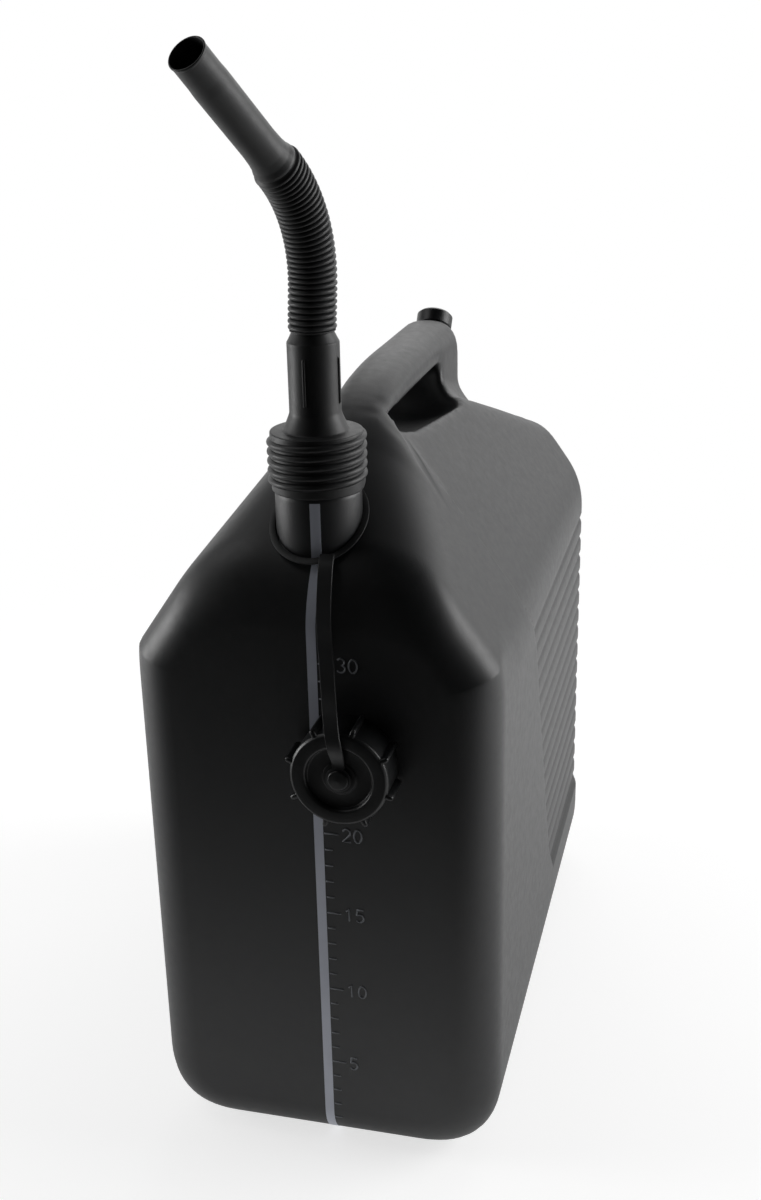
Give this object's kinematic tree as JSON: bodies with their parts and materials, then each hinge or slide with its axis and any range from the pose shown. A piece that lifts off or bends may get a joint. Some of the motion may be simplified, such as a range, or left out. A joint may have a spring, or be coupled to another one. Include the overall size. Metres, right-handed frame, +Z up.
{
  "type": "jerrycan",
  "caption": "Tall black plastic fuel can with handle, ribbed sides, level strip, screwed-on bellows pouring spout, tethered filler cap and vent cap.",
  "frame": {"origin": "middle of the flat underside, where the can stands", "axes": "+Z up, -Y towards the front wall with the neck and the filler cap, +X to the side with the litre scale's numbers"},
  "size_m": [0.225, 0.4853, 0.6817],
  "materials": {
    "can_plastic": "black blow-moulded polyethylene, satin",
    "spout_plastic": "black injection-moulded polypropylene, satin",
    "bellows_plastic": "black soft polyethylene, folded",
    "strap_plastic": "black soft polyethylene",
    "cap_plastic": "black moulded polypropylene, semi-gloss",
    "seal_rubber": "dark grey rubber"
  },
  "bodies": {
    "can": {"can_body": "can_plastic"},
    "spout_carriage": {"spout_seal": "seal_rubber"},
    "spout": {"spout_base": "spout_plastic", "spout_bellows": "bellows_plastic"},
    "spout_tip": {"spout_tube": "spout_plastic"},
    "strap": {"cap_strap": "strap_plastic"},
    "cap": {"filler_cap": "cap_plastic", "cap_seal": "seal_rubber"},
    "vent_carriage": {"vent_seal": "seal_rubber"},
    "vent": {"vent_cap": "cap_plastic"}
  },
  "joints": [
    {"name": "spout_rise", "type": "slide", "parent": "can", "child": "spout_carriage", "axis": [0, 0, 1], "range_m": [0, 0.0276]},
    {"name": "spout_screw", "type": "hinge", "parent": "spout_carriage", "child": "spout", "pos_m": [0, -0.1738, 0.45], "axis": [0, 0, 1], "range_deg": [0, 1800]},
    {"name": "spout_bend", "type": "hinge", "parent": "spout", "child": "spout_tip", "pos_m": [0.0036, -0.1738, 0.58971], "axis": [0.9336, -0.3584, 0], "range_deg": [-48.4, 40], "deforming": ["spout_bellows"]},
    {"name": "strap_swing", "type": "hinge", "parent": "can", "child": "strap", "pos_m": [0.011, -0.1978, 0.404], "axis": [-1, 0, 0], "range_deg": [0, 95], "deforming": ["cap_strap"]},
    {"name": "cap_turn", "type": "hinge", "parent": "strap", "child": "cap", "pos_m": [0.0257, -0.22, 0.284], "axis": [0, -1, 0], "continuous": true},
    {"name": "vent_rise", "type": "slide", "parent": "can", "child": "vent_carriage", "axis": [0, 0.6157, 0.788], "range_m": [0, 0.0076]},
    {"name": "vent_screw", "type": "hinge", "parent": "vent_carriage", "child": "vent", "pos_m": [0, 0.1385, 0.46767], "axis": [0, 0.6157, 0.788], "range_deg": [0, 1080]}
  ],
  "couplings": [
    {"joint": "spout_rise", "follows": "spout_screw", "m_per_rad": 0.00087535},
    {"joint": "vent_rise", "follows": "vent_screw", "m_per_rad": 0.00039789}
  ]
}
